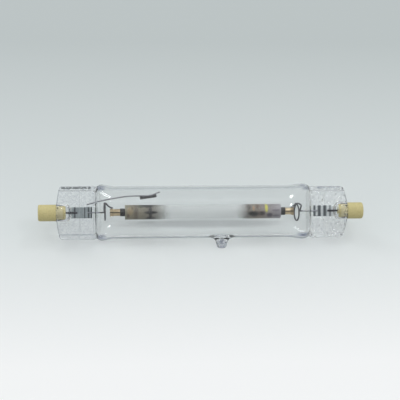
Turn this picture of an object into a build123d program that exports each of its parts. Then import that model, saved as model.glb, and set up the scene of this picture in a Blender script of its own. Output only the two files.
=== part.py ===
"""Double-ended high-pressure sodium lamp, at its real size in millimetres, +Z up.

The lamp lies as it comes to rest on a table: on its round bulb and on the exhaust tip, which leans
forward. The lamp's axis runs along X. Lamp plane coordinates are used throughout: x along the axis
from mid-length, y across the flat pressed ends (the exhaust tip points to -y), z square to them.
"""

import os
from dataclasses import dataclass
from math import acos, asin, atan2, cos, degrees, hypot, pi, radians, sin

from build123d import *

# Outer bulb of clear quartz
LAMP_LENGTH = 206.0
BULB_RADIUS = 16.5
BULB_WALL = 1.6
SHOULDER_STATIONS = [
    # part of the shoulder's length, half width, half thickness
    (0.30, 16.8, 15.6),
    (0.55, 17.4, 13.6),
    (0.78, 17.5, 9.9),
    (1.00, 15.6, 4.4),
]
CAVITY_END_HALF_WIDTH = 13.2
CAVITY_END_HALF_THICKNESS = 1.2

# Flat pressed ends
RAIL_WIDTH = 3.2
RAIL_THICKNESS = 8.4
RAIL_EDGE_RADIUS = 1.3
PRESS_THICKNESS = 3.4
SOCKET_WEB_THICKNESS = 4.8
PRESS_LENGTH = 10.4
BLADE_CORNER_RADIUS = 1.6
BLADE_ROOT = 0.9
BOSS_RADIUS = 6.0
BOSS_DOME_LENGTH = 1.6
SOCKET_RADIUS = 5.0
SOCKET_EDGE_RADIUS = 1.4

# Exhaust tip, sealed off below mid-length
TIP_X = 12.4
TIP_REACH = 23.2
TIP_CORNER_RADIUS = 1.7
TIP_FLAT_RADIUS = 1.3
TIP_NECK_REACH = 18.9
TIP_NECK_RADIUS = 3.7
TIP_FLARE = [
    # reach from the lamp's axis, half length along the lamp, half width round it
    (15.0, 10.4, 5.6),
    (16.3, 7.4, 4.8),
    (17.4, 5.0, 4.2),
]
TIP_BORE_RADIUS = 2.2
TIP_BORE_END = 20.4
TIP_BORE_TAPER = 14.0

# Ceramic caps with a recessed contact
CAP_RADIUS = 5.2
CAP_EDGE_RADIUS = 0.8
SPIGOT_RADIUS = 4.6
SPIGOT_EDGE_RADIUS = 1.8
RECESS_RADIUS = 3.5
RECESS_DEPTH = 5.0
CONTACT_RADIUS = 2.8
CONTACT_SEAT_DEPTH = 1.5
CONTACT_RIM = 0.6
CONTACT_CROWN = 0.6
LEAD_HOLE_RADIUS = 0.8
CEMENT_SETBACK = 1.8

# Conductors in the pressed ends
FOIL_LENGTH = 13.1
FOIL_WIDTH = 7.0
FOIL_THICKNESS = 0.1
OUTER_LEAD_RADIUS = 0.6
OUTER_LEAD_OVERLAP = 3.9
LOOP_WIRE_RADIUS = 0.45
LOOP_WIRE_OVERLAP = 3.0

# Expansion loops
LOOP_RADIUS = 5.4
LOOP_POINTS = 10
LOOP_CORNER_RADIUS = 5.1
SPOKE_BEND_RADIUS = 0.9
SPOKE_BOW = 0.6
JOIN_BEND_RADIUS = 0.8
JOIN_LEAD_IN = 0.2
JOIN_LENGTH = 2.0

# Arc tube of alumina, its plugs and metal end tubes
ARC_TUBE_RADIUS = 4.6
ARC_TUBE_WALL = 0.8
ARC_TUBE_LEFT = -48.7
ARC_TUBE_RIGHT = 49.9
PLUG_LENGTH = 6.3
PLUG_CHAMFER = 0.5
NIOBIUM_RADIUS = 2.2
NIOBIUM_WALL = 0.4
NIOBIUM_END_WALL = 1.4
NIOBIUM_INSET = 5.6
CRIMP_LENGTH = 2.6
CRIMP_HALF_WIDTH = 2.5
CRIMP_HALF_THICKNESS = 0.8
COLLAR_RADIUS = 2.45
COLLAR_LENGTH = 3.1

# Electrodes
ROD_RADIUS = 0.6
ROD_TIP = 0.9
COIL_RADIUS = 1.6
COIL_GROOVE = 0.3
COIL_TURNS = 6
COIL_LENGTH = 7.1
COIL_TO_TUBE_END = 13.3
AMALGAM_RADIUS = 1.1
AMALGAM_X = -40.4

# Getter on its bent wire
GETTER_WIRE_RADIUS = 0.4
GETTER_ROUTE = [
    (-72.6, 5.1, 0.0),
    (-66.0, 6.7, 0.0),
    (-57.0, 8.6, 0.7),
    (-49.0, 9.9, 1.6),
    (-42.0, 10.25, 2.0),
    (-33.0, 10.2, 2.0),
    (-26.8, 12.6, 2.0),
]
GETTER_BENDS = [40.0, 40.0, 40.0, 30.0, 8.0]
BOAT_CENTRE_X = -34.2
BOAT_TOP = 10.7
BOAT_TILT = 8.0
BOAT_LENGTH = 10.6
BOAT_WIDTH = 3.2
BOAT_DEPTH = 2.0
BOAT_WALL = 0.3
BOAT_FILL = 1.3


@dataclass
class End:
    """One end of the lamp. Distances run outward from mid-length."""

    name: str
    side: int  # -1 at the left, +1 at the right
    tube_end: float  # where the round tube starts to flatten
    pinch_line: float  # where the shoulder meets the flat pressed glass
    corner: float  # where the blade's outer corners lie
    blade_end: float  # the blade's furthest point, and the seat of the cap
    upper: float  # the blade's edge above the axis
    lower: float  # the blade's edge below the axis
    foil_outer: float
    socket_bottom: float
    spigot_end: float
    spoke_foot: float  # where the spoke leaves the axis
    spoke_lean: float  # how far the spoke's bow stands outward of its foot
    loop_plane: float  # where the loop starts
    loop_shift: float  # the loop's centre above the axis
    loop_start: float  # angle of the loop's first corner in degrees: 90 is up, 0 is towards +z
    loop_way: int  # +1 where the angle grows along the wire, -1 where it falls
    loop_turns: float
    loop_pitch: float
    loop_tilt: float  # how far the loop's front leans outward, as a slope
    niobium_end: float


ENDS = [
    End(
        name="left",
        side=-1,
        tube_end=54.6,
        pinch_line=67.1,
        corner=89.4,
        blade_end=91.8,
        upper=16.8,
        lower=17.0,
        foil_outer=82.4,
        socket_bottom=83.2,
        spigot_end=85.7,
        spoke_foot=61.0,
        spoke_lean=0.0,
        loop_plane=60.9,
        loop_shift=0.6,
        loop_start=162.0,
        loop_way=-1,
        loop_turns=1.2,
        loop_pitch=1.2,
        loop_tilt=0.0,
        niobium_end=57.9,
    ),
    End(
        name="right",
        side=1,
        tube_end=52.3,
        pinch_line=68.9,
        corner=89.8,
        blade_end=93.1,
        upper=15.8,
        lower=17.1,
        foil_outer=84.5,
        socket_bottom=85.3,
        spigot_end=86.8,
        spoke_foot=62.2,
        spoke_lean=0.9,
        loop_plane=60.9,
        loop_shift=-0.6,
        loop_start=90.0,
        loop_way=1,
        loop_turns=1.0,
        loop_pitch=1.2,
        loop_tilt=0.16,
        niobium_end=58.6,
    ),
]

# The lamp rests on its bulb and on the rim of the exhaust tip, so the tip leans by this angle
tip_rim_reach = TIP_REACH - TIP_CORNER_RADIUS
tip_rim_angle = atan2(TIP_FLAT_RADIUS, tip_rim_reach)
lean = tip_rim_angle + acos((BULB_RADIUS - TIP_CORNER_RADIUS) / hypot(tip_rim_reach, TIP_FLAT_RADIUS))
tip_front = tip_rim_reach * sin(lean) + TIP_FLAT_RADIUS * cos(lean) + TIP_CORNER_RADIUS
axis_y = (tip_front - BULB_RADIUS) / 2

LAMP = Plane(origin=(0, axis_y, BULB_RADIUS), x_dir=(1, 0, 0), z_dir=(0, -cos(lean), sin(lean)))
LAMP_AXIS = Axis(LAMP.origin, LAMP.x_dir)
OUTWARD_FROM_FACE = Axis(LAMP.origin, LAMP.z_dir)


def across(x):
    """Plane square to the lamp's axis at x, with the blade's width as its own x."""
    return Plane(origin=LAMP.from_local_coords((x, 0, 0)), x_dir=LAMP.y_dir, z_dir=LAMP.x_dir)


def below(reach):
    """Plane square to the exhaust tip's axis, at a reach below the lamp's axis."""
    origin = LAMP.from_local_coords((TIP_X, -reach, 0))
    return Plane(origin=origin, x_dir=LAMP.x_dir, z_dir=-LAMP.y_dir)


def save(part, name):
    """Label a finished piece and write it as a STEP file."""
    part.label = name
    export_step(part, f"parts/{name}.step")


def blade(end):
    """Flat pressed end: a web between two rails, with a domed boss round the cap's socket."""
    side = end.side
    press_end = end.pinch_line + PRESS_LENGTH
    with BuildPart() as blade_part:
        with BuildSketch(LAMP) as outline:
            with BuildLine():
                inner_upper = (side * (end.pinch_line - BLADE_ROOT), end.upper)
                inner_lower = (side * (end.pinch_line - BLADE_ROOT), -end.lower)
                outer_upper = (side * end.corner, end.upper)
                outer_lower = (side * end.corner, -end.lower)
                Polyline(outer_upper, inner_upper, inner_lower, outer_lower)
                ThreePointArc(outer_upper, (side * end.blade_end, 0), outer_lower)
            make_face()
            fillet(outline.vertices(), radius=BLADE_CORNER_RADIUS)
        extrude(amount=RAIL_THICKNESS / 2, both=True)
        faces = blade_part.faces().sort_by(OUTWARD_FROM_FACE)
        fillet(faces[0].edges() + faces[-1].edges(), radius=RAIL_EDGE_RADIUS)

        # Both faces are pressed in between the rails, deeper over the foil than round the cap
        for face in (1, -1):
            for start, stop, thickness in (
                (end.pinch_line - BLADE_CORNER_RADIUS, press_end, PRESS_THICKNESS),
                (press_end, end.blade_end + RAIL_WIDTH, SOCKET_WEB_THICKNESS),
            ):
                with BuildSketch(LAMP.offset(face * thickness / 2)):
                    with Locations((side * (start + stop) / 2, (end.upper - end.lower) / 2)):
                        Rectangle(stop - start, end.upper + end.lower - 2 * RAIL_WIDTH)
                extrude(amount=face * RAIL_THICKNESS, mode=Mode.SUBTRACT)

        with BuildSketch(LAMP):
            with BuildLine():
                dome_start = end.socket_bottom - 1
                dome_end = dome_start - BOSS_DOME_LENGTH
                Polyline(
                    (side * dome_end, 0),
                    (side * end.blade_end, 0),
                    (side * end.blade_end, BOSS_RADIUS),
                    (side * dome_start, BOSS_RADIUS),
                )
                EllipticalCenterArc(
                    (side * dome_start, 0),
                    BOSS_DOME_LENGTH,
                    BOSS_RADIUS,
                    start_angle=90,
                    arc_size=90 * side,
                )
            make_face()
        revolve(axis=LAMP_AXIS)
    return blade_part.part


def shoulder(end, wall):
    """Stretch where the round tube flattens towards the blade; a wall of 0 gives its outside."""
    length = end.pinch_line - end.tube_end
    with BuildPart() as shoulder_part:
        with BuildSketch(across(end.side * end.tube_end)):
            Circle(BULB_RADIUS - wall)
        for place, half_width, half_thickness in SHOULDER_STATIONS[:-1]:
            with BuildSketch(across(end.side * (end.tube_end + place * length))):
                Ellipse(half_width - wall, half_thickness - wall)
        if wall:
            with BuildSketch(across(end.side * (end.pinch_line - wall / 2))):
                Ellipse(CAVITY_END_HALF_WIDTH, CAVITY_END_HALF_THICKNESS)
        else:
            with BuildSketch(across(end.side * end.pinch_line)):
                Ellipse(*SHOULDER_STATIONS[-1][1:])
        loft()
    return shoulder_part.part


def exhaust_tip():
    """Stub of the exhaust tube, melted shut, with a flare where it leaves the bulb."""
    with BuildPart() as tip_part:
        for reach, half_length, half_width in TIP_FLARE:
            with BuildSketch(below(reach)):
                Ellipse(half_length, half_width)
        with BuildSketch(below(TIP_NECK_REACH)):
            Circle(TIP_NECK_RADIUS)
        loft()
        with BuildSketch(LAMP):
            with BuildLine():
                rim_radius = TIP_FLAT_RADIUS + TIP_CORNER_RADIUS
                Polyline(
                    (TIP_X, -TIP_REACH),
                    (TIP_X, -TIP_NECK_REACH),
                    (TIP_X + TIP_NECK_RADIUS, -TIP_NECK_REACH),
                    (TIP_X + rim_radius, -tip_rim_reach),
                )
                RadiusArc(
                    (TIP_X + rim_radius, -tip_rim_reach),
                    (TIP_X + TIP_FLAT_RADIUS, -TIP_REACH),
                    TIP_CORNER_RADIUS,
                )
                Line((TIP_X + TIP_FLAT_RADIUS, -TIP_REACH), (TIP_X, -TIP_REACH))
            make_face()
        revolve(axis=Axis(LAMP.from_local_coords((TIP_X, 0, 0)), LAMP.y_dir))
    return tip_part.part


def foil(end):
    """Thin foil that carries the current through the vacuum-tight seal."""
    with BuildPart() as foil_part:
        with BuildSketch(LAMP.offset(-OUTER_LEAD_RADIUS - FOIL_THICKNESS / 2)):
            with Locations((end.side * (end.foil_outer - FOIL_LENGTH / 2), 0)):
                RectangleRounded(FOIL_LENGTH, FOIL_WIDTH, FOIL_WIDTH / 20)
        extrude(amount=FOIL_THICKNESS / 2, both=True)
    return foil_part.part


def outer_lead(end):
    """Straight wire on the lamp's axis, from the contact through the cap onto the foil."""
    contact_back = LAMP_LENGTH / 2 - RECESS_DEPTH - CONTACT_SEAT_DEPTH
    foil_weld = end.foil_outer - OUTER_LEAD_OVERLAP
    with BuildPart() as lead_part:
        with BuildSketch(across(end.side * foil_weld)):
            Circle(OUTER_LEAD_RADIUS)
        extrude(amount=end.side * (contact_back - foil_weld))
    return lead_part.part


def loop_route(end):
    """Corners of the loop wire and the radius of each: foil, spoke, loop, join on the end tube."""
    side = end.side
    height = LOOP_WIRE_RADIUS - OUTER_LEAD_RADIUS
    foil_weld = end.foil_outer - FOIL_LENGTH + LOOP_WIRE_OVERLAP
    corner_radius = LOOP_RADIUS / cos(pi / LOOP_POINTS)
    step = 360 / LOOP_POINTS
    first = radians(end.loop_start)
    corners = [(side * foil_weld, 0, height), (side * end.spoke_foot, 0, height)]
    radii = [SPOKE_BEND_RADIUS]
    if end.spoke_lean:
        bow = SPOKE_BOW * LOOP_RADIUS
        corners.append((side * (end.spoke_foot + end.spoke_lean), bow * sin(first), bow * cos(first)))
        radii.append(SPOKE_BEND_RADIUS)
    for number in range(round(end.loop_turns * LOOP_POINTS) + 1):
        angle = radians(end.loop_start + end.loop_way * number * step)
        inward = end.loop_pitch * number / LOOP_POINTS
        outward = end.loop_tilt * corner_radius * cos(angle)
        corners.append(
            (
                side * (end.loop_plane - inward + outward),
                end.loop_shift + corner_radius * sin(angle),
                corner_radius * cos(angle),
            )
        )
        radii.append(LOOP_CORNER_RADIUS if number else SPOKE_BEND_RADIUS)
    radii[-1] = SPOKE_BEND_RADIUS

    # The wire comes down from the loop's top and lies along the upper edge of the crimped end tube
    joint_height = CRIMP_HALF_WIDTH + LOOP_WIRE_RADIUS
    joint_start = end.niobium_end + JOIN_LEAD_IN
    corners.append((side * joint_start, joint_height, 0))
    corners.append((side * (joint_start - JOIN_LENGTH), joint_height, 0))
    radii.append(JOIN_BEND_RADIUS)
    return corners, radii


def loop_wire(end):
    """Wire from the foil, bent into an expansion loop, to the arc tube's metal end tube."""
    corners, radii = loop_route(end)
    with BuildPart() as wire_part:
        with BuildLine(LAMP) as route:
            FilletPolyline(*corners, radius=radii)
        with BuildSketch(Plane(origin=route.line @ 0, z_dir=route.line % 0)):
            Circle(LOOP_WIRE_RADIUS)
        sweep()
    return wire_part.part


def getter_wire():
    """Wire anchored in the left pressed end, which carries the getter boat."""
    with BuildPart() as wire_part:
        with BuildLine(LAMP) as route:
            FilletPolyline(*GETTER_ROUTE, radius=GETTER_BENDS)
        with BuildSketch(Plane(origin=route.line @ 0, z_dir=route.line % 0)):
            Circle(GETTER_WIRE_RADIUS)
        sweep()
    return wire_part.part


def bulb_end(end, embedded):
    """Hollow shoulder with its pressed end, the cap's socket and the room for the embedded metal."""
    with BuildPart() as end_part:
        add(shoulder(end, 0))
        add(blade(end))
        add(shoulder(end, BULB_WALL), mode=Mode.SUBTRACT)
        with BuildSketch(LAMP):
            with BuildLine():
                mouth = end.side * (end.blade_end + SOCKET_RADIUS)
                bottom = end.side * end.socket_bottom
                FilletPolyline(
                    (mouth, 0),
                    (mouth, SOCKET_RADIUS),
                    (bottom, SOCKET_RADIUS),
                    (bottom, 0),
                    radius=[0, SOCKET_EDGE_RADIUS],
                )
                Line((bottom, 0), (mouth, 0))
            make_face()
        revolve(axis=LAMP_AXIS, mode=Mode.SUBTRACT)
        for metal in embedded:
            add(metal, mode=Mode.SUBTRACT)
    return end_part.part


def outer_bulb(left_embedded, right_embedded):
    """The whole quartz bulb in one piece: tube, exhaust tip and both ends."""
    left, right = ENDS
    with BuildPart() as bulb_part:
        with BuildSketch(across(-left.tube_end)):
            Circle(BULB_RADIUS)
            Circle(BULB_RADIUS - BULB_WALL, mode=Mode.SUBTRACT)
        extrude(amount=left.tube_end + right.tube_end)
        add(exhaust_tip())
        with BuildSketch(below(BULB_RADIUS - 2 * BULB_WALL)):
            Circle(TIP_BORE_RADIUS)
        bore_depth = TIP_BORE_END - BULB_RADIUS + 2 * BULB_WALL
        extrude(amount=bore_depth, taper=TIP_BORE_TAPER, mode=Mode.SUBTRACT)
        add(bulb_end(left, left_embedded))
        add(bulb_end(right, right_embedded))
    return bulb_part.part


def cap(end):
    """Ceramic cap: a plain cylinder with a recess for the contact and a spigot in the glass."""
    face = end.side * LAMP_LENGTH / 2
    seat = end.side * end.blade_end
    inner = end.side * end.spigot_end
    recess_floor = face - end.side * RECESS_DEPTH
    contact_seat = recess_floor - end.side * CONTACT_SEAT_DEPTH
    with BuildPart() as cap_part:
        with BuildSketch(LAMP):
            with BuildLine():
                FilletPolyline(
                    (contact_seat, LEAD_HOLE_RADIUS),
                    (contact_seat, CONTACT_RADIUS),
                    (recess_floor, CONTACT_RADIUS),
                    (recess_floor, RECESS_RADIUS),
                    (face, RECESS_RADIUS),
                    (face, CAP_RADIUS),
                    (seat, CAP_RADIUS),
                    (seat, SPIGOT_RADIUS),
                    (inner, SPIGOT_RADIUS),
                    (inner, LEAD_HOLE_RADIUS),
                    radius=[0, 0, 0, 0, CAP_EDGE_RADIUS, 0, 0, SPIGOT_EDGE_RADIUS],
                )
                Line((inner, LEAD_HOLE_RADIUS), (contact_seat, LEAD_HOLE_RADIUS))
            make_face()
        revolve(axis=LAMP_AXIS)
    return cap_part.part


def cement(end):
    """Ring of cement that holds the cap's spigot in the socket."""
    inner = end.spigot_end + CEMENT_SETBACK
    with BuildPart() as cement_part:
        with BuildSketch(across(end.side * inner)):
            Circle(SOCKET_RADIUS)
            Circle(SPIGOT_RADIUS, mode=Mode.SUBTRACT)
        extrude(amount=end.side * (end.blade_end - inner))
    return cement_part.part


def contact(end):
    """Crowned contact button in the floor of the cap's recess."""
    back = end.side * (LAMP_LENGTH / 2 - RECESS_DEPTH - CONTACT_SEAT_DEPTH)
    rim = back + end.side * CONTACT_RIM
    crown = rim + end.side * CONTACT_CROWN
    crown_radius = (CONTACT_RADIUS**2 + CONTACT_CROWN**2) / (2 * CONTACT_CROWN)
    half_way = asin(CONTACT_RADIUS / crown_radius) / 2
    middle = (crown - end.side * crown_radius * (1 - cos(half_way)), crown_radius * sin(half_way))
    with BuildPart() as contact_part:
        with BuildSketch(LAMP):
            with BuildLine():
                Polyline((crown, 0), (back, 0), (back, CONTACT_RADIUS), (rim, CONTACT_RADIUS))
                ThreePointArc((rim, CONTACT_RADIUS), middle, (crown, 0))
            make_face()
        revolve(axis=LAMP_AXIS)
    return contact_part.part


def arc_tube():
    """Translucent alumina tube that holds the discharge."""
    with BuildPart() as tube_part:
        with BuildSketch(across(ARC_TUBE_LEFT)):
            Circle(ARC_TUBE_RADIUS)
            Circle(ARC_TUBE_RADIUS - ARC_TUBE_WALL, mode=Mode.SUBTRACT)
        extrude(amount=ARC_TUBE_RIGHT - ARC_TUBE_LEFT)
    return tube_part.part


def arc_tube_end(end):
    """Where the arc tube ends at one side."""
    return ARC_TUBE_LEFT if end.side < 0 else ARC_TUBE_RIGHT


def end_plug(end):
    """Alumina plug in the arc tube's end, with the metal end tube through it."""
    inner = arc_tube_end(end) - end.side * PLUG_LENGTH
    radius = ARC_TUBE_RADIUS - ARC_TUBE_WALL
    with BuildPart() as plug_part:
        with BuildSketch(across(inner)):
            Circle(radius)
            Circle(NIOBIUM_RADIUS, mode=Mode.SUBTRACT)
        extrude(amount=end.side * PLUG_LENGTH)
        inner_face = plug_part.faces().filter_by(GeomType.PLANE).sort_by(LAMP_AXIS)[-1 if end.side < 0 else 0]
        chamfer(inner_face.outer_wire().edges(), length=PLUG_CHAMFER)
    return plug_part.part


def niobium_tube(end):
    """Metal tube through the plug: crimped flat outside, welded to the electrode inside."""
    side = end.side
    inner = arc_tube_end(end) - side * NIOBIUM_INSET
    crimp_start = side * (end.niobium_end - CRIMP_LENGTH)
    bore_start = inner + side * NIOBIUM_END_WALL
    with BuildPart() as tube_part:
        with BuildSketch(across(inner)):
            Circle(NIOBIUM_RADIUS)
        extrude(amount=side * abs(crimp_start - inner))
        with BuildSketch(across(bore_start)):
            Circle(NIOBIUM_RADIUS - NIOBIUM_WALL)
        extrude(amount=side * abs(crimp_start - bore_start), mode=Mode.SUBTRACT)
        with BuildSketch(across(inner)):
            Circle(ROD_RADIUS)
        extrude(amount=side * NIOBIUM_END_WALL, mode=Mode.SUBTRACT)
        with BuildSketch(across(crimp_start)):
            Circle(NIOBIUM_RADIUS)
        with BuildSketch(across(crimp_start + side * CRIMP_LENGTH * 0.7)):
            Ellipse(CRIMP_HALF_WIDTH, CRIMP_HALF_THICKNESS)
        with BuildSketch(across(side * end.niobium_end)):
            Ellipse(CRIMP_HALF_WIDTH, CRIMP_HALF_THICKNESS)
        loft()
    return tube_part.part


def end_collar(end):
    """Dark ring of sealing glass round the metal tube, against the arc tube's end."""
    start = arc_tube_end(end)
    with BuildPart() as collar_part:
        with BuildSketch(across(start)):
            Circle(COLLAR_RADIUS)
            Circle(NIOBIUM_RADIUS, mode=Mode.SUBTRACT)
        extrude(amount=end.side * COLLAR_LENGTH)
    return collar_part.part


def electrode_rod(end):
    """Tungsten rod from the metal end tube to just past the coil."""
    start = arc_tube_end(end) - end.side * (NIOBIUM_INSET - NIOBIUM_END_WALL)
    coil_tip = arc_tube_end(end) - end.side * (COIL_TO_TUBE_END + COIL_LENGTH)
    stop = coil_tip - end.side * ROD_TIP
    with BuildPart() as rod_part:
        with BuildSketch(across(start)):
            Circle(ROD_RADIUS)
        extrude(amount=stop - start)
    return rod_part.part


def electrode_coil(end):
    """Close-wound tungsten coil on the rod, its turns drawn as a row of crests."""
    base = arc_tube_end(end) - end.side * COIL_TO_TUBE_END
    pitch = COIL_LENGTH / COIL_TURNS
    crests = [(base, COIL_RADIUS - COIL_GROOVE)]
    for turn in range(COIL_TURNS):
        crests.append((base - end.side * pitch * (turn + 0.25), COIL_RADIUS))
        crests.append((base - end.side * pitch * (turn + 0.75), COIL_RADIUS))
        crests.append((base - end.side * pitch * (turn + 1), COIL_RADIUS - COIL_GROOVE))
    tip = base - end.side * COIL_LENGTH
    with BuildPart() as coil_part:
        with BuildSketch(LAMP):
            with BuildLine():
                Polyline(*crests, (tip, ROD_RADIUS), (base, ROD_RADIUS), close=True)
            make_face()
        revolve(axis=LAMP_AXIS)
    return coil_part.part


def amalgam():
    """Bead of sodium amalgam, lying on the lowest line of the arc tube's bore."""
    bore = ARC_TUBE_RADIUS - ARC_TUBE_WALL
    centre = LAMP.origin + Vector(AMALGAM_X, 0, AMALGAM_RADIUS * 0.7 - bore)
    with BuildPart() as bead_part:
        with Locations(centre):
            Sphere(AMALGAM_RADIUS)
        with BuildSketch(across(AMALGAM_X - AMALGAM_RADIUS)):
            Circle(bore)
        extrude(amount=2 * AMALGAM_RADIUS, mode=Mode.INTERSECT)
    return bead_part.part


def boat_level(depth):
    """Plane at a depth below the boat's rim; the boat rises towards mid-length."""
    tilt = radians(BOAT_TILT)
    rim = Plane(
        origin=LAMP.from_local_coords((BOAT_CENTRE_X, BOAT_TOP, 0)),
        x_dir=LAMP.x_dir * cos(tilt) + LAMP.y_dir * sin(tilt),
        z_dir=LAMP.x_dir * sin(tilt) - LAMP.y_dir * cos(tilt),
    )
    return rim.offset(depth)


def getter_boat():
    """Narrow metal boat, open upward in the lamp's plane."""
    opening = boat_level(0)
    with BuildPart() as boat_part:
        with BuildSketch(opening):
            SlotOverall(BOAT_LENGTH, BOAT_WIDTH)
        extrude(amount=BOAT_DEPTH)
        with BuildSketch(opening):
            SlotOverall(BOAT_LENGTH - 2 * BOAT_WALL, BOAT_WIDTH - 2 * BOAT_WALL)
        extrude(amount=BOAT_DEPTH - BOAT_WALL, mode=Mode.SUBTRACT)
    return boat_part.part


def getter_fill():
    """Dark pressed getter in the boat."""
    with BuildPart() as fill_part:
        with BuildSketch(boat_level(BOAT_DEPTH - BOAT_WALL - BOAT_FILL)):
            SlotOverall(BOAT_LENGTH - 2 * BOAT_WALL, BOAT_WIDTH - 2 * BOAT_WALL)
        extrude(amount=BOAT_FILL)
    return fill_part.part


os.makedirs("parts", exist_ok=True)

embedded_metal = {"left": [getter_wire()], "right": []}
save(embedded_metal["left"][0], "getter_wire")
for lamp_end in ENDS:
    for make in (foil, outer_lead, loop_wire):
        piece = make(lamp_end)
        embedded_metal[lamp_end.name].append(piece)
        save(piece, f"{lamp_end.name}_{make.__name__}")
    for make in (cap, cement, contact, end_plug, niobium_tube, end_collar, electrode_rod, electrode_coil):
        save(make(lamp_end), f"{lamp_end.name}_{make.__name__}")

save(outer_bulb(embedded_metal["left"], embedded_metal["right"]), "outer_bulb")
save(arc_tube(), "arc_tube")
save(amalgam(), "amalgam")
save(getter_boat(), "getter_boat")
save(getter_fill(), "getter_fill")
print(f"lean {degrees(lean):.2f} degrees, axis y {axis_y:.3f}")
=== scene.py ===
"""Double-ended high-pressure sodium lamp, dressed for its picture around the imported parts.

Every piece is drawn in lamp coordinates, in millimetres: x along the lamp from mid-length, y across the
flat pressed ends (the exhaust tip points to -y), z square to them. The lamp lies on its round bulb and on
its exhaust tip, so these coordinates lean back from the table's upright.
"""

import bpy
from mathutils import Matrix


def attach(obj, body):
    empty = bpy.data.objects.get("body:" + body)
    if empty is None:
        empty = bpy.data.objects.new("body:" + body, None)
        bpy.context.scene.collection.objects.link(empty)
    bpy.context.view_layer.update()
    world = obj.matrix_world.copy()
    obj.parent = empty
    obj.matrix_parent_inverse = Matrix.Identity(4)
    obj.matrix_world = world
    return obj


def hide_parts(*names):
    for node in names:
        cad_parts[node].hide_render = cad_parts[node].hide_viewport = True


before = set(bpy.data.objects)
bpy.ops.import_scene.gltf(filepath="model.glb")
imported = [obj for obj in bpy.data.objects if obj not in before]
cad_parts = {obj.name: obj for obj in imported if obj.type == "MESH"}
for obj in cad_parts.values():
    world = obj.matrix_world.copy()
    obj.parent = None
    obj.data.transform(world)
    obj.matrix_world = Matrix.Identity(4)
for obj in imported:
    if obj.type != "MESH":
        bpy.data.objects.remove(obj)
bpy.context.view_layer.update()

from contextlib import contextmanager
from dataclasses import dataclass
from math import acos, atan2, cos, hypot, pi, radians, sin, sqrt, tan

import bmesh
import bpy
import numpy as np
from mathutils import Matrix, Vector, noise

MM = 0.001

# Outer bulb
BULB_RADIUS = 16.5
BULB_WALL = 1.6
SHOULDER_PLACES = [0.0, 0.30, 0.55, 0.78, 1.00]
SHOULDER_WIDTHS = [16.5, 16.8, 17.4, 17.5, 15.6]
SHOULDER_THICKNESSES = [16.5, 15.6, 13.6, 9.9, 4.4]
CAVITY_END_WIDTH = 13.2
SHOULDER_END_SLOPE = 1.4
PRESS_BLEND = 1.6
CLOSED_GAP = 0.04
AROUND = 192
CAVITY_AROUND = 120

# Flat pressed ends
RAIL_WIDTH = 3.2
RAIL_HALF_THICKNESS = 4.2
RAIL_EDGE_RADIUS = 1.3
PRESS_HALF_THICKNESS = 1.7
SOCKET_WEB_HALF_THICKNESS = 2.4
PRESS_LENGTH = 10.4
BLADE_CORNER_RADIUS = 1.6
BLADE_EDGE_RADIUS = 0.9
BOSS_RADIUS = 5.5
BOSS_DOME_LENGTH = 3.2
BOSS_DOME_OFFSET = 2.4
BOSS_FILLET = 1.0
SOCKET_RADIUS = 5.0
SOCKET_DOME_LENGTH = 2.6
FAR_FROM_END = 10.0
PRESS_SINK = 0.05
RAIL_SINK = 0.15
RAIL_FROM = 14.0
FRONT_IN_NOISE = 40
RAIL_STEP = 0.5
RAIL_LEAST_TOP = 0.6

# A quarter of the blade's section: the share of its points, from the middle to the edge, where each part ends
WEB_PART = 0.57
STEP_PART = 0.69
TOP_PART = 0.78
CORNER_PART = 0.92

# Exhaust tip
TIP_X = 12.4
TIP_REACH = 23.2
TIP_CORNER_RADIUS = 1.7
TIP_FLAT_RADIUS = 1.3
TIP_RIM_LENGTH = 12.5
TIP_RIM_WIDTH = 8.6
TIP_WAVES_START = 17.3
TIP_WAVES_REACH = 6.0
TIP_WAVES_PER_MM = 0.9
TIP_WAVE_HEIGHT = 0.35

# Caps, contacts and leads
LAMP_LENGTH = 206.0
CAP_RADIUS = 5.2
SPIGOT_RADIUS = 4.6
RECESS_RADIUS = 3.5
RECESS_DEPTH = 5.0
CONTACT_RADIUS = 2.8
CONTACT_SEAT_DEPTH = 1.5
LEAD_HOLE_RADIUS = 0.8
CEMENT_SETBACK = 1.8
CEMENT_RADIUS = 4.96
FOIL_LENGTH = 13.1
FOIL_WIDTH = 7.0
FOIL_THICKNESS = 0.1
FOIL_COLUMNS = 80
FOIL_ROWS = 16
OUTER_LEAD_RADIUS = 0.6
OUTER_LEAD_OVERLAP = 3.9
LOOP_WIRE_RADIUS = 0.45
LOOP_WIRE_OVERLAP = 3.0
LOOP_RADIUS = 5.4
LOOP_POINTS = 10
SPOKE_BOW = 0.6
BUTTON_RIM = 0.5
CROWN_START = 0.62
CROWN_HEIGHT = 0.56
FIT_GAP = 0.01
WELD_DISTANCE = 1e-7

# Arc tube and what is in it
ARC_TUBE_RADIUS = 4.6
ARC_TUBE_WALL = 0.8
ARC_TUBE_LEFT = -48.7
ARC_TUBE_RIGHT = 49.9
PLUG_LENGTH = 6.3
NIOBIUM_RADIUS = 2.2
NIOBIUM_INSET = 5.6
CRIMP_LENGTH = 2.6
CRIMP_HALF_WIDTH = 2.5
CRIMP_HALF_THICKNESS = 0.8
COLLAR_RADIUS = 2.45
COLLAR_LENGTH = 3.1
ROD_RADIUS = 0.6
COIL_RADIUS = 1.6
COIL_TURNS = 6
COIL_POINTS = 12
COIL_LENGTH = 7.1
COIL_TO_TUBE_END = 13.3
GETTER_WIRE_RADIUS = 0.4
GETTER_ROUTE = [
    (-72.6, 5.1, 0.0), (-66.0, 6.7, 0.0), (-57.0, 8.6, 0.7),
    (-49.0, 9.9, 1.6), (-42.0, 10.25, 2.0), (-34.6, 10.21, 2.0),
    (-33.0, 10.2, 2.0), (-31.5, 10.78, 2.0), (-26.8, 12.6, 2.0),
]

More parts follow.
